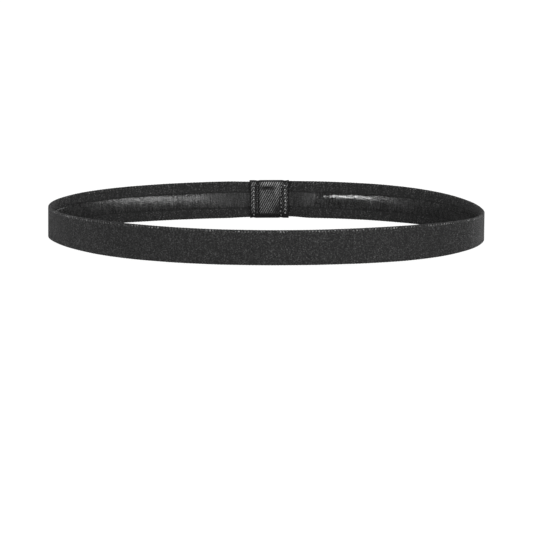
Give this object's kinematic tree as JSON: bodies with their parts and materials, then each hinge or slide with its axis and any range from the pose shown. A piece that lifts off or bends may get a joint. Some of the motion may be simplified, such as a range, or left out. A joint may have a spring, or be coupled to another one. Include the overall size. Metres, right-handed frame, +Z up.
{
  "type": "sports headband",
  "caption": "Elastic sports headband: a thin cloth loop with a silicone grip line inside, closed at the back by a sewn lap joint under a ribbon wrap.",
  "frame": {"origin": "on the surface that the band stands on, under the middle of its overall box", "axes": "+X across the loop's long way, from the left side bend to the right one; +Y from the front of the loop to the sewn joint at its back; +Z up, across the band's width"},
  "size_m": [0.1788, 0.1208, 0.0153],
  "materials": {
    "elastic_cloth": "matte knitted face with a fine grain",
    "rubber_core": "matte",
    "grip_silicone": "clear and glossy over black cloth",
    "wrap_ribbon": "twill with a soft sheen",
    "sewing_thread": "twisted thread with a soft sheen"
  },
  "bodies": {
    "root": {"elastic_webbing": "elastic_cloth", "rubber_core_01": "rubber_core", "rubber_core_02": "rubber_core", "rubber_core_03": "rubber_core", "rubber_core_04": "rubber_core", "rubber_core_05": "rubber_core", "rubber_core_06": "rubber_core", "rubber_core_07": "rubber_core", "rubber_core_08": "rubber_core", "rubber_core_09": "rubber_core", "rubber_core_10": "rubber_core", "rubber_core_11": "rubber_core", "rubber_core_12": "rubber_core", "silicone_grip": "grip_silicone", "joint_wrap_ribbon": "wrap_ribbon", "lap_seam_needle_thread": "sewing_thread", "lap_seam_bobbin_thread": "sewing_thread", "wrap_zigzag_left_needle_thread": "sewing_thread", "wrap_zigzag_left_bobbin_thread": "sewing_thread", "wrap_zigzag_right_needle_thread": "sewing_thread", "wrap_zigzag_right_bobbin_thread": "sewing_thread"}
  },
  "joints": []
}
